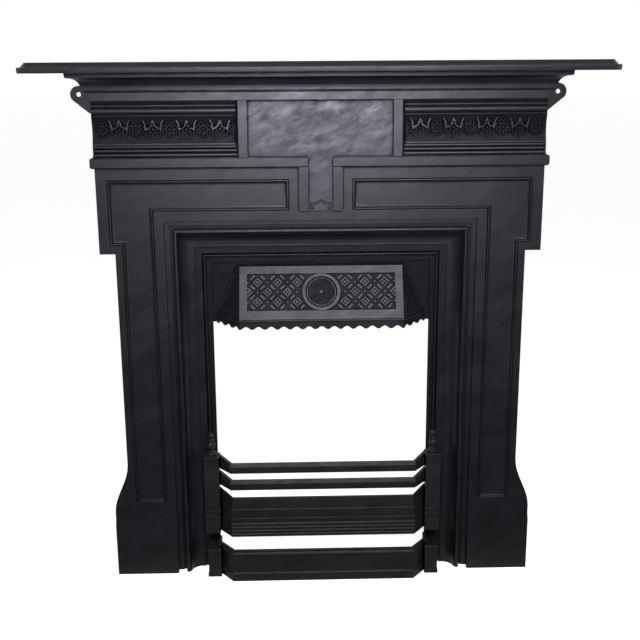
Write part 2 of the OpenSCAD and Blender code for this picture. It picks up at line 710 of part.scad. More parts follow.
// Corner of the canopy at height z, set in by i along the face normals, at depth y
function cheek_x(y, z, i) = hood_x + cheek_spread * (y - hood_y(z))
    - i * norm([1, cheek_spread, cheek_spread * hood_slope]);
function hood_ring(z, i, back) = let (y = hood_y(z) + i * norm([1, hood_slope]))
    [[-cheek_x(y, z, i), y, z], [cheek_x(y, z, i), y, z],
     [cheek_x(back, z, i), back, z], [-cheek_x(back, z, i), back, z]];
module canopy(i, z0, z1, back) { skin([hood_ring(z1, i, back), hood_ring(z0, i, back)]); }
function valance_path(i, back) = let (y = i - hood_reach, n = i * norm([1, cheek_spread]),
    x0 = hood_x + cheek_spread * (y + hood_reach) - n,
    x1 = hood_x + cheek_spread * (back + hood_reach) - n)
    [[-x1, back], [-x0, y], [x0, y], [x1, back]];
// Wavy lower edge: everything below a wave of n scallops over the given length
module scallop_cut(length, n) {
    steps = 8 * n;
    linear_extrude(4 * hood_t, center = true) polygon(concat([[0, valance_z - 2 * cut]],
        [for (i = [0:steps]) [length * i / steps, valance_z
            + scallop_depth * (1 - cos(360 * n * i / steps)) / 2]],
        [[length, valance_z - 2 * cut]]));
}
module hood_screw_places() {
    translate([in_x + 11, 0, valance_z + 30]) children();
    translate([in_x - 30, 0, row_z]) children();
}
// Local frame on the leaning plate: x across, y up the plate, z out of it
module on_plate() {
    translate([0, (hood_top_y - hood_reach) / 2, (hood_z0 + hood_z1) / 2])
        rotate([90 - hood_lean, 0, 0]) children();
}
field_x = hood_x - hood_border;
field_y = hood_len / 2 - hood_border;
// Diamond with four square holes
module diamond_shape() {
    hole = diamond * 0.27;
    rotate(45) difference() {
        square(diamond, center = true);
        for (x = [-1, 1], y = [-1, 1]) translate([x, y] * diamond * 0.21)
            square(hole, center = true);
    }
}
// Diamonds and dots in turn along three rows, with slanted bars between them
module lattice() {
    half = lattice_pitch / 2;
    intersection() {
        square([2 * field_x, 2 * field_y], center = true);
        difference() {
            for (side = [0, 1]) mirror([side, 0]) for (i = [-1:5]) {
                odd = (i + 2) % 2;
                x = lattice_in + i * half;
                if (i >= 0) {
                    for (y = odd == 0 ? [-lattice_row, lattice_row] : [0])
                        translate([x, y]) diamond_shape();
                    for (y = odd == 0 ? [0] : [-lattice_row, lattice_row])
                        translate([x, y]) circle(2.2, $fn = 16);
                }
                for (row = i < 0 ? [-1.5, 1.5] : [-1.5, -0.5, 0.5, 1.5])
                    translate([x + half / 2, row * lattice_row])
                        rotate(45 * (odd == (abs(row) == 0.5 ? 0 : 1) ? 1 : -1) * sign(row))
                            square([lattice_bar, lattice_bar_w], center = true);
            }
            circle(ring_d / 2 - 1);
        }
    }
}
module hood_relief() {
    depth = hood_sink + 1.2;
    r = ring_d / 2 - ring_band;
    on_plate() translate([0, 0, -depth]) {
        linear_extrude(depth - 0.4) lattice();
        linear_extrude(depth + 1) ring_shape(ring_d / 2, r);
        linear_extrude(depth - 0.4) ring_shape(r - 3.2, r - 5.2);
        linear_extrude(depth - 0.7) petal_shapes(7.5, r - 6.5, 6, 2.6);
        linear_extrude(depth - 0.6) ring_shape(8, 6.2);
        cylinder(h = depth + 0.6, r = 3.4);
    }
}
// Leaf and rule cast on the flange beside the canopy
module flange_ornament() {
    plate(inner_back - 1.5, inner_back + 1) translate([leaf_x, leaf_z]) {
        for (a = [20, 65, 110, 155]) rotate(a) polygon(petal(3, 15, 2.6));
        for (a = [-120, -60]) rotate(a) polygon(petal(3, 20, 2.2));
        circle(2.6);
    }
    block(hood_x + 20, in_x - 1, inner_back - 1.5, inner_back + 1, hood_z1 + 2, hood_z1 + 5);
}
module hood() {
    back = hood_back;
    color(iron) place() difference() {
        union() {
            difference() {
                union() {
                    plate(inner_back, hood_back) translate([-flange_x, valance_z + 4])
                        square([2 * flange_x, flange_z1 - valance_z - 4]);
                    canopy(0, hood_z0 - 0.01, hood_z1, inner_back + 1);
                    translate([0, 0, valance_z]) linear_extrude(valance_h)
                        polygon(valance_path(0, inner_back + 1));
                }
                canopy(hood_t, hood_z0 - hood_t, hood_z1 - hood_t, back + cut);
                translate([0, 0, valance_z - cut]) linear_extrude(valance_h + cut - 1)
                    polygon(valance_path(hood_t, back + cut));
                on_plate() translate([-field_x, -field_y, -hood_sink])
                    cube([2 * field_x, 2 * field_y, 2 * hood_t]);
            }
            hood_relief();
            both_sides() flange_ornament();
            skin(canted(valance_path(-3, inner_back + 1), valance_path(1, inner_back + 1), 4,
                hood_z0 - 9, concat([[4, 0]], arc([3.2, 0], [3.2, 5], 2.4, 5), [[4, 5]])));
        }
        upright([-hood_x, -hood_reach], [hood_x, -hood_reach]) scallop_cut(hood_w, scallops);
        both_sides() upright(valance_path(0, inner_back)[2], valance_path(0, inner_back)[3])
            scallop_cut(norm([cheek_spread, 1]) * (inner_back + hood_reach), 3);
        both_sides() {
            hood_screw_places() clearance_hole(inner_back - cut, hood_back + cut);
            throat_screw_places() clearance_hole(inner_back - cut, hood_back + cut);
        }
    }
}
module clearance_hole(y0, y1) { rod_y(0, 0, screw_d / 2 + thread_clear, y0, y1); }
module hood_screws() {
    color(steel) place() both_sides() hood_screw_places() back_screw(hood_back, 0, frame_t + 5);
}

// ---- throat plate and damper ----
module throat_screw_places() { translate([throat_w / 4, 0, row_z]) children(); }
module throat_plate() {
    x = throat_w / 2;
    color(iron) place() difference() {
        union() {
            block(-x, x, hood_back, throat_back, plate_z - throat_t, plate_z);
            block(-x, x, hood_back, hood_back + throat_t, plate_z - throat_t, flange_z1);
            both_sides() along_x(x - throat_t, x) polygon([[hood_back + 1, plate_z - 1],
                [hood_back + 1, flange_z1], [hood_back + throat_t, flange_z1],
                [vent_y1, plate_z - 1]]);
            both_sides() difference() {
                block(ear_x, ear_x + ear_t, pivot_y - 9, throat_back, plate_z - 1, pivot_z);
                block(ear_x - cut, ear_x + ear_t + cut, pivot_y + 9, throat_back + cut,
                    plate_z, pivot_z + cut);
            }
            both_sides() translate([ear_x, pivot_y, pivot_z]) rotate([0, 90, 0])
                cylinder(h = ear_t, r = 9);
        }
        block(-vent_w / 2, vent_w / 2, vent_y0, vent_y1, plate_z - throat_t - cut, plate_z + cut);
        translate([-x, pivot_y, pivot_z]) rotate([0, 90, 0])
            cylinder(h = 2 * x, r = pin_d / 2 + pin_clear);
        both_sides() throat_screw_places() clearance_hole(hood_back - cut, hood_back + throat_t + cut);
    }
}
module throat_screws() {
    color(steel) place() both_sides() throat_screw_places()
        back_screw(hood_back + throat_t, 0, throat_t + frame_t + 5);
}
module damper_flap() {
    x = vent_w / 2 + vent_lap;
    z = plate_z + seat_gap;
    color(iron) place() difference() {
        union() {
            block(-x, x, vent_y0 - vent_lap, pivot_y - 6, z, z + flap_t);
            for (k = [-0.75, 0, 0.75]) translate([k * x - 15, 0, 0]) {
                block(0, 30, pivot_y - 8, pivot_y, z + 1, z + flap_t);
                translate([0, pivot_y, pivot_z]) rotate([0, 90, 0])
                    cylinder(h = 30, r = pivot_z - z - 0.5);
            }
            for (k = [-0.5, 0.5]) block(k * x - 3, k * x + 3, vent_y0, pivot_y - 12, z + 1, z + 12);
            block(-12, 12, vent_y0 - vent_lap, vent_y0 - vent_lap + 6, z + 1, z + 18);
        }
        translate([-x - cut, pivot_y, pivot_z]) rotate([0, 90, 0])
            cylinder(h = 2 * x + 2 * cut, r = pin_d / 2 + pin_clear);
    }
}
module damper_pin() {
    half = ear_x + ear_t;
    color(steel) place() translate([-half - 2, pivot_y, pivot_z]) rotate([0, 90, 0]) {
        cylinder(h = 2 * half + 4, r = pin_d / 2);
        translate([0, 0, -3]) cylinder(h = 4.7, r = pin_d * 0.8);
        translate([0, 0, 2 * half + 2.3]) cylinder(h = 3, r = pin_d * 0.8);
    }
}

// ---- fire front ----
// Plan of a canted front: front faces set back by i, ending inside the posts
function front_path(corner, spread, i) = let (n = i * norm([1, spread]), y = i - bar_reach,
    x0 = corner + spread * i - n, x1 = post_x + 1,
    y1 = (x1 - corner + n) / spread - bar_reach)
    [[-x1, y1], [-x0, y], [x0, y], [x1, y1]];
module front_rail(corner, spread, z, profile, drop = 0) {
    skin(canted(front_path(corner, spread, 0), front_path(corner, spread, bar_t), bar_t, z,
        profile, drop));
}
bar_profile = [[3, 0], [1, bar_h * 0.3], [0, bar_h * 0.62], [0.6, bar_h * 0.7], [3.5, bar_h],
    [bar_t, bar_h], [bar_t, 0]];
// Apron: two steps, each with a rounded top edge, over four reeds
reed_pitch = 8.5;
apron_profile = concat([[bar_t, 0], [2.5, 0]], [for (k = [0:3])
        for (p = arc([2.5, 1.5 + k * reed_pitch], [2.5, 9 + k * reed_pitch], 2.2, 4)) p],
    [[2.2, 36.5]], arc([1.2, 45], [2.8, 47], 0.4, 3), [[4.2, 47.3]],
    arc([3.4, 66], [4.8, 68], 0.4, 3), [[6, 68.3]],
    [[5.5, apron_h - 3], [7, apron_h], [bar_t, apron_h]]);
module post() {
    x1 = post_x + post_w;
    y = (post_y0 + post_y1) / 2;
    x = post_x + post_w / 2;
    block(post_x, x1, post_y0, post_y1, post_z0, post_z1);
    for (z = [post_ring_z, post_ring_z + post_ring_gap])
        block(post_x - 1.5, x1 + 1.5, post_y0 - 2, post_y1, z - 2, z + 2);
    block(post_x - 1.5, x1 + 1.5, post_y0 - 2, post_y1, post_z1 - 5, post_z1);
    translate([x, y, post_z0 - 4]) cylinder(h = 5, r = post_w / 2 - 5);
    // Hook that drops into the insert's pocket
    block(hook_x - hook_w / 2, hook_x + hook_w / 2, post_y1 - 1, hook_y + hook_t,
        hook_z + seat_gap, hook_z + 8);
    block(hook_x - hook_w / 2, hook_x + hook_w / 2, hook_y, hook_y + hook_t,
        hook_z - hook_drop, hook_z + 8);
    // Nib that steadies the foot against the insert
    block(x1 - 7, x1 - 1.5, post_y1 - 1, slope_y(x1 - 1.5) - seat_gap, 126, 140);
}
module fire_front() {
    color(iron) place() difference() {
        union() {
            front_rail(bar_corner, bar_spread, bar_top_z, bar_profile, end_drop);
            front_rail(bar_corner, bar_spread, bar_low_z, bar_profile, end_drop);
            front_rail(bar_corner, bar_spread, apron_z, apron_profile, end_drop);
            both_sides() post();
        }
        both_sides() translate([post_x + post_w / 2, (post_y0 + post_y1) / 2, post_z1 - spigot_h - 1])
            cylinder(h = spigot_h + 2 * cut, r = spigot_d / 2 + thread_clear);
    }
}
module finial(side) {
    r = finial_r;
    h = finial_h;
    profile = concat([[0, -spigot_h], [spigot_d / 2, -spigot_h], [spigot_d / 2, 0], [r + 3, 0],
        [r + 3, 3]], arc([r + 3, 3], [r + 1, 8], -1, 3), [[r - 3, 9], [r - 4, 14]],
        arc([r - 3, 15], [r - 3, 33], -4, 6), [[r - 4, 34], [r - 1, 35], [r - 1, 38], [r - 5, 39]],
        arc([r - 5, h - 13], [0, h], -4.6, 7));
    color(iron) place() translate([side * (post_x + post_w / 2), (post_y0 + post_y1) / 2, post_z1])
        rotate_extrude() polygon(profile);
}
module finial_left() { finial(-1); }
module finial_right() { finial(1); }

// ---- bottom grate and its bearers ----
module bottom_grate() {
    x = grate_w / 2;
    z = ledge_z + seat_gap;
    pitch = slot_w + grate_bar_w;
    n = floor((grate_w - 3 * grate_bar_w) / pitch);
    color(iron) place() difference() {
        block(-x, x, grate_y0, grate_y0 + grate_d, z, z + grate_t);
        for (k = [0:n - 1]) for (half = [0, 1])
            block((k - (n - 1) / 2) * pitch - slot_w / 2, (k - (n - 1) / 2) * pitch + slot_w / 2,
                grate_y0 + grate_bar_w + half * (grate_d / 2 - 5),
                grate_y0 + grate_d / 2 - 6 + half * (grate_d / 2 - 5), z - cut, z + grate_t + cut);
    }
}
module bearer_bolt_places() {
    for (z = [9 - bearer_down, bearer_up - 9])
        translate([bearer_bolt_x, 0, ledge_z + z]) children();
}
module bearer() {
    x1 = ledge_x + ledge_w;
    y1 = grate_y0 + grate_d;
    difference() {
        union() {
            translate([0, 0, ledge_z - ledge_t]) linear_extrude(ledge_t)
                polygon([[ledge_x, 0], [x1 - ledge_cant, 0], [x1, inner_back], [x1, y1], [ledge_x, y1]]);
            block(x1 - 6, x1, inner_back, y1, ledge_z - 12, ledge_z);
            block(x1 - 6, flange_x, inner_back, inner_back + frame_t,
                ledge_z - bearer_down, ledge_z + bearer_up);
        }
        bearer_bolt_places() clearance_hole(inner_back - cut, inner_back + frame_t + cut);
    }
}
module grate_bearer_left() { color(iron) place() mirror([1, 0, 0]) bearer(); }
module grate_bearer_right() { color(iron) place() bearer(); }
module bearer_bolts() {
    color(steel) place() both_sides() bearer_bolt_places()
        back_screw(inner_back + frame_t, 0, frame_t + 5);
}

// ---- ash front ----
ash_profile = concat([[bar_t, 0], [1, 0], [0, 2]], arc([0.5, 4], [0.5, 9], 0.9, 3),
    arc([1, 15], [1, 20], 1, 3), [[3.5, 22], [3.5, ash_h - 15]],
    arc([2, ash_h - 13], [2, ash_h - 7], 2, 4), [[3.5, ash_h - 5], [3.5, ash_h], [bar_t, ash_h]]);
module ash_front() {
    back = slope_y1 - lip_rise - seat_gap;
    rail_end = (post_x + 1 - ash_corner) / ash_spread - bar_reach;
    color(iron) place() {
        front_rail(ash_corner, ash_spread, 0, ash_profile);
        both_sides() {
            block(post_x, post_x + 8, rail_end - 2, back, 0, ash_h + 0.5);
            block(post_x, post_x + ash_block_w, -ash_block_reach, back, 0, ash_block_h);
            block(post_x - 1, post_x + ash_block_w + 1.5, -ash_block_reach - 1.5, 20, 0, 9);
            block(post_x - 1, post_x + ash_block_w + 1.5, -ash_block_reach - 1.5, 20,
                ash_block_h - 5, ash_block_h - 1);
        }
    }
}

mantel_front();
mantel_shelf();
shelf_bolts();
shelf_washers();
insert_frame();
insert_screws();
insert_washers();
hood();
hood_screws();
throat_plate();
throat_screws();
damper_flap();
damper_pin();
fire_front();
finial_left();
finial_right();
bottom_grate();
grate_bearer_left();
grate_bearer_right();
bearer_bolts();
ash_front();
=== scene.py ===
import json
import math

import bpy
from mathutils import Matrix, Vector


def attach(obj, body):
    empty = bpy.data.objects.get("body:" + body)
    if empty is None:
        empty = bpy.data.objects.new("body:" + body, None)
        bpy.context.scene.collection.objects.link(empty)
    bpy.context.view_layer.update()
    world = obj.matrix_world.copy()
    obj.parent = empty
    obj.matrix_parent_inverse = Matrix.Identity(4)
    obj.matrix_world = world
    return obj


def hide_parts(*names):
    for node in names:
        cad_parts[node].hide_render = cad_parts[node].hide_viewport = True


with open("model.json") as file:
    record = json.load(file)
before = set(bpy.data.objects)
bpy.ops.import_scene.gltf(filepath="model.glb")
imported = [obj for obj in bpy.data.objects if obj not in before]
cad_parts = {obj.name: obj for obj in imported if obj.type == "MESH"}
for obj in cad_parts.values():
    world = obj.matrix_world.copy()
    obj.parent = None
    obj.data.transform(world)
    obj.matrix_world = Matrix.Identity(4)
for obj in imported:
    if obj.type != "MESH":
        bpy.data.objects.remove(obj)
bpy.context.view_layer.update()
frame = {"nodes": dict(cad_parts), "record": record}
mm = 0.001
record = frame["record"]
bodyOfNode = {node: body for body, members in record["behaviour"]["bodies"].items() for node in members}
bpy.ops.object.select_all(action="DESELECT")
print("frame loaded:", len(bodyOfNode), "nodes")


def pickOnly(obj):
    bpy.ops.object.select_all(action="DESELECT")
    obj.select_set(True)
    bpy.context.view_layer.objects.active = obj


def applyModifiers(obj):
    pickOnly(obj)
    for modifier in list(obj.modifiers):
        bpy.ops.object.modifier_apply(modifier=modifier.name)


def addNode(tree, kind, **settings):
    node = tree.nodes.new(kind)
    for name, value in settings.items():
        setattr(node, name, value)
    return node


def mathNode(tree, operation, first, second=None, clamp=False):
    node = addNode(tree, "ShaderNodeMath", operation=operation, use_clamp=clamp)
    for socket, value in zip(node.inputs, (first, second)):
        if isinstance(value, (int, float)):
            socket.default_value = value
        elif value is not None:
            tree.links.new(value, socket)
    return node.outputs[0]


def mixColour(tree, factor, first, second):
    node = addNode(tree, "ShaderNodeMix", data_type="RGBA")
    tree.links.new(factor, node.inputs[0])
    for socket, value in zip((node.inputs[6], node.inputs[7]), (first, second)):
        if isinstance(value, tuple):
            socket.default_value = (*value, 1)
        else:
            tree.links.new(value, socket)
    return node.outputs[2]


def remap(tree, value, low, high, newLow=0.0, newHigh=1.0):
    node = addNode(tree, "ShaderNodeMapRange", clamp=True)
    tree.links.new(value, node.inputs[0])
    for socket, number in zip(node.inputs[1:5], (low, high, newLow, newHigh)):
        socket.default_value = number
    return node.outputs[0]


def newGroup(name, inputs, outputs):
    group = bpy.data.node_groups.new(name, "ShaderNodeTree")
    for label, kind, value in inputs:
        socket = group.interface.new_socket(name=label, in_out="INPUT", socket_type=kind)
        if value is not None:
            socket.default_value = value
    for label in outputs:
        group.interface.new_socket(name=label, in_out="OUTPUT", socket_type="NodeSocketFloat")
    return group, addNode(group, "NodeGroupInput"), addNode(group, "NodeGroupOutput")


castSkin = {"pitEdge": (0.10, 0.22), "fineShare": 0.45}


def makeSandGrain():
    # skin of a sand casting: fine grains, soft orange peel and the odd pit
    group, source, result = newGroup("sandGrain", [
        ("Vector", "NodeSocketVector", None), ("Grain", "NodeSocketFloat", 700.0),
        ("Peel", "NodeSocketFloat", 160.0), ("Pits", "NodeSocketFloat", 0.3)], ["Height"])
    fine = addNode(group, "ShaderNodeTexNoise")
    peel = addNode(group, "ShaderNodeTexNoise")
    pits = addNode(group, "ShaderNodeTexVoronoi", feature="F1")
    for node, scale, detail in ((fine, "Grain", 3.0), (peel, "Peel", 2.0), (pits, "Peel", None)):
        group.links.new(source.outputs["Vector"], node.inputs["Vector"])
        group.links.new(source.outputs[scale], node.inputs["Scale"])
        if detail:
            node.inputs["Detail"].default_value = detail
    pitMask = remap(group, pits.outputs["Distance"], *castSkin["pitEdge"], 1.0, 0.0)
    pitMask = mathNode(group, "MULTIPLY", pitMask, source.outputs["Pits"])
    height = mathNode(group, "MULTIPLY", fine.outputs["Fac"], castSkin["fineShare"])
    height = mathNode(group, "ADD", height, peel.outputs["Fac"])
    height = mathNode(group, "SUBTRACT", height, pitMask)
    group.links.new(height, result.inputs["Height"])
    return group


# how bent a surface is, as the cosine between its softened and its own normal
wornEdge = {"bend": (0.99, 0.80), "patchScale": 55.0, "patches": (0.35, 0.62), "leastWear": 0.25}


def makeRubbedEdges():
    # edges where the polish is rubbed thin, broken up by noise
    group, source, result = newGroup("rubbedEdges", [
        ("Vector", "NodeSocketVector", None), ("Width", "NodeSocketFloat", 1.6 * mm),
        ("Amount", "NodeSocketFloat", 1.0)], ["Mask"])
    rounded = addNode(group, "ShaderNodeBevel", samples=4)
    group.links.new(source.outputs["Width"], rounded.inputs["Radius"])
    geometry = addNode(group, "ShaderNodeNewGeometry")
    dot = addNode(group, "ShaderNodeVectorMath", operation="DOT_PRODUCT")
    group.links.new(rounded.outputs["Normal"], dot.inputs[0])
    group.links.new(geometry.outputs["Normal"], dot.inputs[1])
    bent = remap(group, dot.outputs["Value"], *wornEdge["bend"])
    breakup = addNode(group, "ShaderNodeTexNoise")
    breakup.inputs["Scale"].default_value = wornEdge["patchScale"]
    breakup.inputs["Detail"].default_value = 3.0
    group.links.new(source.outputs["Vector"], breakup.inputs["Vector"])
    patches = remap(group, breakup.outputs["Fac"], *wornEdge["patches"], wornEdge["leastWear"], 1.0)
    worn = mathNode(group, "MULTIPLY", bent, patches)
    mask = mathNode(group, "MULTIPLY", worn, source.outputs["Amount"], True)
    group.links.new(mask, result.inputs["Mask"])
    return group


# ambient occlusion range of the painted shade in hollows: fully dark at closed, untouched at open
hollowShadeRange = {"closed": 0.50, "open": 0.90}  # share of open sky that a hollow sees


def makeHollowShade():
    # corners and grooves darkened by their ambient occlusion: painted shade
    group, source, result = newGroup("hollowShade", [("Reach", "NodeSocketFloat", 9 * mm)], ["Mask"])
    shade = addNode(group, "ShaderNodeAmbientOcclusion", samples=8, only_local=True)
    group.links.new(source.outputs["Reach"], shade.inputs["Distance"])
    mask = remap(group, shade.outputs["AO"], hollowShadeRange["closed"], hollowShadeRange["open"], 1.0, 0.0)
    group.links.new(mask, result.inputs["Mask"])
    return group


brushWay = {"tilt": -28, "stretch": 2.4, "clouds": (0.32, 0.68), "streaks": (0.34, 0.66)}


def makeBrushMarks():
    # broad cloudy wipes left by the polishing brush, drawn out along its way
    group, source, result = newGroup("brushMarks", [
        ("Vector", "NodeSocketVector", None), ("Cloud", "NodeSocketFloat", 14.0),
        ("Streak", "NodeSocketFloat", 30.0)], ["Clouds", "Streaks"])
    turned = addNode(group, "ShaderNodeMapping", vector_type="TEXTURE")
    turned.inputs["Rotation"].default_value = (0, math.radians(brushWay["tilt"]), 0)
    turned.inputs["Scale"].default_value = (brushWay["stretch"], 1, 1)
    group.links.new(source.outputs["Vector"], turned.inputs["Vector"])
    cloud = addNode(group, "ShaderNodeTexNoise")
    cloud.inputs["Detail"].default_value = 5.0
    cloud.inputs["Roughness"].default_value = 0.6
    cloud.inputs["Distortion"].default_value = 0.4
    group.links.new(turned.outputs["Vector"], cloud.inputs["Vector"])
    group.links.new(source.outputs["Cloud"], cloud.inputs["Scale"])
    streak = addNode(group, "ShaderNodeTexNoise")
    streak.inputs["Detail"].default_value = 4.0
    streak.inputs["Roughness"].default_value = 0.65
    group.links.new(turned.outputs["Vector"], streak.inputs["Vector"])
    group.links.new(source.outputs["Streak"], streak.inputs["Scale"])
    clouds = remap(group, cloud.outputs["Fac"], *brushWay["clouds"])
    streaks = remap(group, streak.outputs["Fac"], *brushWay["streaks"])
    group.links.new(clouds, result.inputs["Clouds"])
    group.links.new(streaks, result.inputs["Streaks"])
    return group


sandGrain = makeSandGrain()
rubbedEdges = makeRubbedEdges()
hollowShade = makeHollowShade()
brushMarks = makeBrushMarks()


def placeGroup(tree, group, **values):
    node = addNode(tree, "ShaderNodeGroup", node_tree=group)
    for name, value in values.items():
        if isinstance(value, (int, float)):
            node.inputs[name].default_value = value
        else:
            tree.links.new(value, node.inputs[name])
    return node


finishes = {
    # stove-polished casting: painted shade in the hollows, plain on the flats, rubbed on the edges
    "blackLead": {"plain": (0.0064, 0.0058, 0.0070), "cloud": (0.0118, 0.0108, 0.0128),
                  "rubbed": (0.034, 0.032, 0.037), "hollow": (0.0022, 0.0020, 0.0026),
                  "roughness": 0.33, "cloudRough": 0.07, "specular": 0.27,
                  "hollowShine": 0.04, "edgeShine": 0.22,
                  "grain": 620.0, "peel": 150.0, "pits": 0.25, "bump": 0.40, "wear": 0.8, "reach": 7 * mm,
                  "clouds": 22.0, "streaks": 60.0, "streakRough": 0.05, "cloudShine": 0.07},
    # the plain T panel, mottled by brush wipes
    "wipedPanel": {"plain": (0.0085, 0.0078, 0.0094), "cloud": (0.0230, 0.0218, 0.0260),
                   "rubbed": (0.040, 0.038, 0.044), "hollow": (0.0022, 0.0020, 0.0026),
                   "roughness": 0.34, "cloudRough": 0.12, "specular": 0.36,
                   "hollowShine": 0.03, "edgeShine": 0.25,
                   "grain": 520.0, "peel": 95.0, "pits": 0.35, "bump": 0.65, "wear": 0.6, "reach": 14 * mm,
                   "clouds": 30.0, "streaks": 75.0, "streakRough": 0.13, "cloudShine": 0.20},
    # the fire side: duller, with a breath of ash
    "firedIron": {"plain": (0.0098, 0.0085, 0.0092), "cloud": (0.0165, 0.0146, 0.0154),
                  "rubbed": (0.040, 0.037, 0.039), "hollow": (0.0030, 0.0025, 0.0029),
                  "roughness": 0.40, "cloudRough": 0.10, "specular": 0.20,
                  "hollowShine": 0.04, "edgeShine": 0.22,
                  "grain": 560.0, "peel": 120.0, "pits": 0.45, "bump": 0.50, "wear": 0.9, "reach": 6 * mm,
                  "clouds": 34.0, "streaks": 60.0, "streakRough": 0.05, "cloudShine": 0.08},
    # ground of the ornament and all that stands behind the fire's edge: matt, and darker as painted shade
    # where little light reaches
    "paintedShadeGround": {"plain": (0.0040, 0.0036, 0.0046), "cloud": (0.0078, 0.0070, 0.0086),
                     "rubbed": (0.022, 0.021, 0.024), "hollow": (0.0016, 0.0015, 0.0018),
                     "roughness": 0.46, "cloudRough": 0.10, "specular": 0.09, "hollowShine": 0.03,
                     "edgeShine": 0.12, "grain": 560.0, "peel": 140.0, "pits": 0.45, "bump": 0.45,
                     "wear": 0.6, "reach": 8 * mm, "clouds": 40.0, "streaks": 80.0, "streakRough": 0.05,
                     "cloudShine": 0.05},
}


# what the painted shade in the hollows and rubbing on the edges do to every finish
handling = {"hollowDull": 0.22, "edgePolish": 0.10, "edgeWidth": 1.6 * mm, "grainDepth": 0.35 * mm}


def makeIron(name, look):
    material = bpy.data.materials.new(name)
    material.use_nodes = True
    tree = material.node_tree
    shader = tree.nodes["Principled BSDF"]
    place = addNode(tree, "ShaderNodeTexCoord").outputs["Object"]
    grain = placeGroup(tree, sandGrain, Vector=place, Grain=look["grain"], Peel=look["peel"],
                       Pits=look["pits"])
    marks = placeGroup(tree, brushMarks, Vector=place, Cloud=look["clouds"], Streak=look["streaks"])
    edges = placeGroup(tree, rubbedEdges, Vector=place, Width=handling["edgeWidth"],
                       Amount=look["wear"])
    hollows = placeGroup(tree, hollowShade, Reach=look["reach"])
    colour = mixColour(tree, marks.outputs["Clouds"], look["plain"], look["cloud"])
    colour = mixColour(tree, edges.outputs["Mask"], colour, look["rubbed"])
    # painted shade: the dark shade colour goes into corners and grooves that ambient occlusion finds
    colour = mixColour(tree, hollows.outputs["Mask"], colour, look["hollow"])
    tree.links.new(colour, shader.inputs["Base Color"])
    rough = mathNode(tree, "MULTIPLY", marks.outputs["Clouds"], look["cloudRough"])
    streaks = mathNode(tree, "MULTIPLY", marks.outputs["Streaks"], look["streakRough"])
    dull = mathNode(tree, "MULTIPLY", hollows.outputs["Mask"], handling["hollowDull"])
    polish = mathNode(tree, "MULTIPLY", edges.outputs["Mask"], -handling["edgePolish"])
    total = mathNode(tree, "ADD", rough, look["roughness"])
    for part in (streaks, dull, polish):
        total = mathNode(tree, "ADD", total, part, True)
    tree.links.new(total, shader.inputs["Roughness"])
    bump = addNode(tree, "ShaderNodeBump")
    bump.inputs["Strength"].default_value = look["bump"]
    bump.inputs["Distance"].default_value = handling["grainDepth"]
    tree.links.new(grain.outputs["Height"], bump.inputs["Height"])
    tree.links.new(bump.outputs["Normal"], shader.inputs["Normal"])
    # the painted shade in the hollows also takes the shine, rubbing on the edges brings it out
    shaded = remap(tree, hollows.outputs["Mask"], 0.0, 1.0, look["specular"], look["hollowShine"])
    rubbed = mathNode(tree, "MULTIPLY", edges.outputs["Mask"], look["edgeShine"])
    swing = 0.5 * look["cloudShine"]
    wiped = remap(tree, marks.outputs["Streaks"], 0.0, 1.0, swing, -swing)
    shine = mathNode(tree, "ADD", mathNode(tree, "ADD", shaded, rubbed), wiped)
    shine = mathNode(tree, "MAXIMUM", shine, look["hollowShine"])
    tree.links.new(shine, shader.inputs["Specular IOR Level"])
    return material


ironFinish = {name: makeIron(name, look) for name, look in finishes.items()}


steelLook = {"plain": (0.10, 0.098, 0.10), "cloud": (0.17, 0.15, 0.14), "rubbed": (0.32, 0.31, 0.31),
             "roughness": 0.34, "streakRough": 0.16, "metallic": 0.85,
             "grain": 1500.0, "peel": 420.0, "pits": 0.2, "bump": 0.25, "grainDepth": 0.1 * mm,
             "clouds": 120.0, "streaks": 300.0, "edgeWidth": 0.6 * mm, "wear": 1.0}


def makeDarkSteel():
    material = bpy.data.materials.new("darkSteel")
    material.use_nodes = True
    tree = material.node_tree
    shader = tree.nodes["Principled BSDF"]
    place = addNode(tree, "ShaderNodeTexCoord").outputs["Object"]
    look = steelLook
    grain = placeGroup(tree, sandGrain, Vector=place, Grain=look["grain"], Peel=look["peel"],
                       Pits=look["pits"])
    marks = placeGroup(tree, brushMarks, Vector=place, Cloud=look["clouds"], Streak=look["streaks"])
    edges = placeGroup(tree, rubbedEdges, Vector=place, Width=look["edgeWidth"], Amount=look["wear"])
    colour = mixColour(tree, marks.outputs["Clouds"], look["plain"], look["cloud"])
    colour = mixColour(tree, edges.outputs["Mask"], colour, look["rubbed"])
    tree.links.new(colour, shader.inputs["Base Color"])
    rough = mathNode(tree, "MULTIPLY", marks.outputs["Streaks"], look["streakRough"])
    tree.links.new(mathNode(tree, "ADD", rough, look["roughness"]), shader.inputs["Roughness"])
    bump = addNode(tree, "ShaderNodeBump")
    bump.inputs["Strength"].default_value = look["bump"]
    bump.inputs["Distance"].default_value = look["grainDepth"]
    tree.links.new(grain.outputs["Height"], bump.inputs["Height"])
    tree.links.new(bump.outputs["Normal"], shader.inputs["Normal"])
    shader.inputs["Metallic"].default_value = look["metallic"]
    return material


darkSteel = makeDarkSteel()
print("finishes made")


# sunk panel in both cheeks of the hood; rim and floor are shares of what lies around them
cheekPanel = {"facing": (0.736, -0.603, 0.307), "match": 0.97, "leastArea": 4e-3,
              "rim": 0.80, "floor": 0.96, "depth": 1.4 * mm}

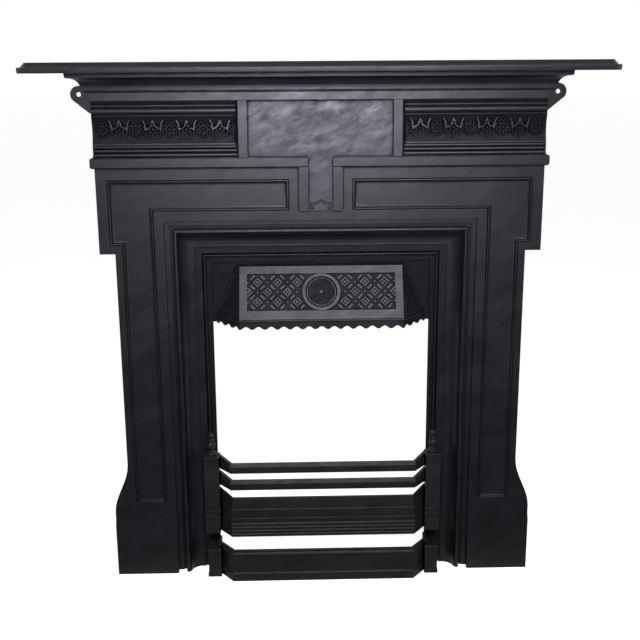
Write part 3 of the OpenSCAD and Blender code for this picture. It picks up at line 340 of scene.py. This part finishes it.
# each casting is a softened copy of its solid
softening = {"merge": 0.01 * mm, "flatAngle": 0.5, "edgeAngle": 32, "segments": 2, "smoothAngle": 38}
castings = {
    "mantelCasting": {"node": "mantel_front", "finish": "blackLead", "edge": 0.35 * mm},
    "shelfCasting": {"node": "mantel_shelf", "finish": "blackLead", "edge": 1.0 * mm},
    "insertCasting": {"node": "insert_frame", "finish": "blackLead", "edge": 0.5 * mm, "whole": True},
    "hoodCasting": {"node": "hood", "finish": "blackLead", "edge": 0.25 * mm, "smooth": 14,
                    "cheeks": cheekPanel},
    "fireFrontCasting": {"node": "fire_front", "finish": "firedIron", "edge": 0.5 * mm},
    "ashFrontCasting": {"node": "ash_front", "finish": "firedIron", "edge": 0.5 * mm},
    "grateCasting": {"node": "bottom_grate", "finish": "firedIron", "edge": 1.2 * mm},
    "throatCasting": {"node": "throat_plate", "finish": "firedIron", "edge": 0.7 * mm},
    "damperCasting": {"node": "damper_flap", "finish": "firedIron", "edge": 0.6 * mm},
    "leftBearerCasting": {"node": "grate_bearer_left", "finish": "firedIron", "edge": 0.8 * mm},
    "rightBearerCasting": {"node": "grate_bearer_right", "finish": "firedIron", "edge": 0.8 * mm},
    "leftFinialCasting": {"node": "finial_left", "finish": "firedIron", "edge": 0},
    "rightFinialCasting": {"node": "finial_right", "finish": "firedIron", "edge": 0},
}


def sinkPanel(piece, side, panel):
    # the face on that side whose slant and area the panel names
    facing = Vector(panel["facing"])
    facing.x *= side
    bpy.ops.mesh.select_mode(type="FACE")
    bpy.ops.mesh.select_all(action="DESELECT")
    bpy.ops.object.mode_set(mode="OBJECT")
    face = next(face for face in piece.data.polygons
                if face.normal.dot(facing) > panel["match"] and face.area > panel["leastArea"])
    face.select = True
    centre, inward = face.center.copy(), -face.normal
    bpy.ops.object.mode_set(mode="EDIT")
    for share in (panel["rim"], panel["floor"]):
        bpy.ops.mesh.inset(thickness=0)
        bpy.ops.transform.resize(value=(share, share, share), center_override=centre)
    bpy.ops.transform.translate(value=panel["depth"] * inward)


def softenCasting(name, settings):
    source = frame["nodes"][settings["node"]]
    piece = bpy.data.objects.new(name, source.data.copy())
    bpy.context.scene.collection.objects.link(piece)
    pickOnly(piece)
    bpy.ops.object.mode_set(mode="EDIT")
    bpy.ops.mesh.select_all(action="SELECT")
    bpy.ops.mesh.remove_doubles(threshold=softening["merge"])
    if not settings.get("whole"):  # once dissolved, the insert's ring-shaped faces tear in the bevel
        flat = math.radians(softening["flatAngle"])
        bpy.ops.mesh.dissolve_limited(angle_limit=flat, delimit={"NORMAL"})
    if "cheeks" in settings:
        for side in (-1, 1):
            sinkPanel(piece, side, settings["cheeks"])
    bpy.ops.object.mode_set(mode="OBJECT")
    if settings["edge"]:
        bevel = piece.modifiers.new("edge", "BEVEL")
        bevel.width = settings["edge"]
        bevel.segments = softening["segments"]
        bevel.limit_method = "ANGLE"
        bevel.angle_limit = math.radians(softening["edgeAngle"])
        bevel.use_clamp_overlap = False
        applyModifiers(piece)
    smooth = settings.get("smooth", softening["smoothAngle"])
    bpy.ops.object.shade_smooth_by_angle(angle=math.radians(smooth))
    level = piece.modifiers.new("level", "WEIGHTED_NORMAL")
    level.keep_sharp = True
    applyModifiers(piece)
    piece.data.materials.clear()
    piece.data.materials.append(ironFinish[settings["finish"]])
    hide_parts(settings["node"])
    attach(piece, bodyOfNode[settings["node"]])
    return piece


pieces = {name: softenCasting(name, settings) for name, settings in castings.items()}
print("castings softened:", len(pieces))


def paintFaces(piece, finish, wanted):
    # wanted takes a face's centre and normal
    piece.data.materials.append(ironFinish[finish])
    slot = len(piece.data.materials) - 1
    for face in piece.data.polygons:
        if wanted(face.center, face.normal):
            face.material_index = slot


# sunk field of the T panel, in the record's frame
panelField = {"halfWidth": 156 * mm, "low": 855 * mm, "high": 1092 * mm,
              "depth": -33 * mm, "slack": 0.3 * mm, "facing": -0.99}
paintFaces(pieces["mantelCasting"], "wipedPanel", lambda centre, normal: (
    normal.y < panelField["facing"] and abs(centre.y - panelField["depth"]) < panelField["slack"]
    and abs(centre.x) < panelField["halfWidth"]
    and panelField["low"] < centre.z < panelField["high"]))

# hollow of the frieze and all ornament in it but the tops of the crowns, painted darker as shade, since
# only the crown tops catch the light
friezeGround = {"inner": 175 * mm, "low": 1004 * mm, "high": 1060 * mm,
                "crownFront": -32.3 * mm, "crownBack": -32.03 * mm, "facing": -0.3}
paintFaces(pieces["mantelCasting"], "paintedShadeGround", lambda centre, normal: (
    abs(centre.x) > friezeGround["inner"] and friezeGround["low"] < centre.z < friezeGround["high"]
    and not friezeGround["crownFront"] < centre.y < friezeGround["crownBack"]
    and normal.y < friezeGround["facing"]))

# ground of the hood's lattice, and everything behind the insert's inner edge, painted darker as the shade
# of the recess and of the lintel above
hood = pieces["hoodCasting"]
plateBorder = max((face for face in hood.data.polygons if face.normal.z > 0.1 and face.normal.y < -0.5),
                  key=lambda face: face.area)
plateNormal = plateBorder.normal.copy()
plateTop = plateBorder.center.dot(plateNormal)
fireSide = {"insert": 7 * mm, "hood": 14 * mm}
latticeGround = {"least": 0.55 * mm, "most": 4 * mm, "match": 0.9995}  # below the plate's border
paintFaces(hood, "paintedShadeGround", lambda centre, normal: (
    centre.y > fireSide["hood"] or normal.dot(plateNormal) > latticeGround["match"]
    and latticeGround["least"] < plateTop - centre.dot(plateNormal) < latticeGround["most"]))
paintFaces(pieces["insertCasting"], "paintedShadeGround", lambda centre, normal: centre.y > fireSide["insert"])

# small steel parts keep their solids
for node in bodyOfNode:
    if node not in {settings["node"] for settings in castings.values()}:
        solid = frame["nodes"][node]
        solid.data.materials.clear()
        solid.data.materials.append(darkSteel)


floorLook = {"size": 80.0, "colour": (0.80, 0.80, 0.80), "unlit": (0.25, 0.25, 0.27), "glow": 0.86,
             "roughness": 0.9, "shine": 0.1}
# the studio in front of the object is dark, so only what lies behind this line reflects as white
darkStudio = {"from": 0.10, "to": -0.15, "left": 0.08, "skyFrom": 0.15, "skyTo": -0.25, "skyLight": 0.12}


def brightRays(tree, frontShade):
    # 1 for rays that see the background directly or through glass, a share for its reflections
    path = addNode(tree, "ShaderNodeLightPath")
    reflected = mathNode(tree, "MULTIPLY", path.outputs["Is Glossy Ray"], frontShade)
    seen = mathNode(tree, "MAXIMUM", path.outputs["Is Camera Ray"], reflected)
    return mathNode(tree, "MAXIMUM", seen, path.outputs["Is Transmission Ray"])


def makeFloor():
    bpy.ops.mesh.primitive_plane_add(size=floorLook["size"], location=(0, 0, 0))
    floor = bpy.context.object
    floor.name = "floor"
    material = bpy.data.materials.new("paleFloor")
    material.use_nodes = True
    tree = material.node_tree
    shader = tree.nodes["Principled BSDF"]
    shader.inputs["Roughness"].default_value = floorLook["roughness"]
    shader.inputs["Specular IOR Level"].default_value = floorLook["shine"]
    shader.inputs["Emission Color"].default_value = (1, 1, 1, 1)
    place = addNode(tree, "ShaderNodeSeparateXYZ")
    tree.links.new(addNode(tree, "ShaderNodeTexCoord").outputs["Object"], place.inputs[0])
    front = remap(tree, place.outputs["Y"], darkStudio["to"], darkStudio["from"], darkStudio["left"], 1.0)
    unlit = mathNode(tree, "MULTIPLY", mathNode(tree, "SUBTRACT", 1.0, front),
                     addNode(tree, "ShaderNodeLightPath").outputs["Is Glossy Ray"])
    tree.links.new(mixColour(tree, unlit, floorLook["colour"], floorLook["unlit"]),
                   shader.inputs["Base Color"])
    glow = mathNode(tree, "MULTIPLY", brightRays(tree, front), floorLook["glow"])
    tree.links.new(glow, shader.inputs["Emission Strength"])
    floor.data.materials.append(material)


def makeWorld():
    world = bpy.data.worlds.new("studio")
    bpy.context.scene.world = world
    world.use_nodes = True
    tree = world.node_tree
    background = tree.nodes["Background"]
    background.inputs["Color"].default_value = (1, 1, 1, 1)
    way = addNode(tree, "ShaderNodeSeparateXYZ")
    tree.links.new(addNode(tree, "ShaderNodeTexCoord").outputs["Generated"], way.inputs[0])
    front = remap(tree, way.outputs["Y"], darkStudio["skyTo"], darkStudio["skyFrom"],
                  darkStudio["left"], 1.0)
    strength = remap(tree, brightRays(tree, front), 0.0, 1.0, darkStudio["skyLight"], 1.0)
    tree.links.new(strength, background.inputs["Strength"])


lamps = {
    "nearCamera": {"at": (0.0, -2.2, 1.26), "aim": (0.0, 0.0, 1.1), "size": (0.90, 0.20), "power": 8.5,
                   "spread": 66},
    "overhead": {"at": (0.25, -1.7, 2.25), "aim": (0.0, 0.0, 0.7), "size": (1.6, 0.9), "power": 9,
                 "spread": 76},
}
lampTint = (1.0, 0.97, 1.09)  # black lead looks faintly violet


def makeLamps():
    for name, lamp in lamps.items():
        data = bpy.data.lights.new(name, "AREA")
        data.shape = "RECTANGLE"
        data.size, data.size_y = lamp["size"]
        data.energy = lamp["power"]
        data.color = lampTint
        data.spread = math.radians(lamp["spread"])
        light = bpy.data.objects.new(name, data)
        bpy.context.scene.collection.objects.link(light)
        light.location = lamp["at"]
        aim = Vector(lamp["aim"]) - Vector(lamp["at"])
        light.rotation_mode = "QUATERNION"
        light.rotation_quaternion = aim.to_track_quat("-Z", "Y")


view = {"at": (-53.7 * mm, -2143.6 * mm, 1148.3 * mm), "lens": 55.125, "sensor": 36.0,
        "yaw": -0.02372, "pitch": 0.248296, "roll": -0.0063854}


def makeCamera():
    yaw, pitch, roll = view["yaw"], view["pitch"], view["roll"]
    forward = Vector((-math.sin(yaw) * math.cos(pitch), math.cos(yaw) * math.cos(pitch), -math.sin(pitch)))
    level = Vector((math.cos(yaw), math.sin(yaw), 0))
    upright = level.cross(forward)
    right = level * math.cos(roll) + upright * math.sin(roll)
    up = upright * math.cos(roll) - level * math.sin(roll)
    data = bpy.data.cameras.new("camera")
    data.lens, data.sensor_width = view["lens"], view["sensor"]
    camera = bpy.data.objects.new("camera", data)
    bpy.context.scene.collection.objects.link(camera)
    turn = Matrix((right, up, -forward)).transposed().to_4x4()
    camera.matrix_world = Matrix.Translation(view["at"]) @ turn
    bpy.context.scene.camera = camera


makeFloor()
makeWorld()
makeLamps()
makeCamera()
bpy.context.scene.view_settings.view_transform = "Standard"
print("floor, lamps and camera placed")
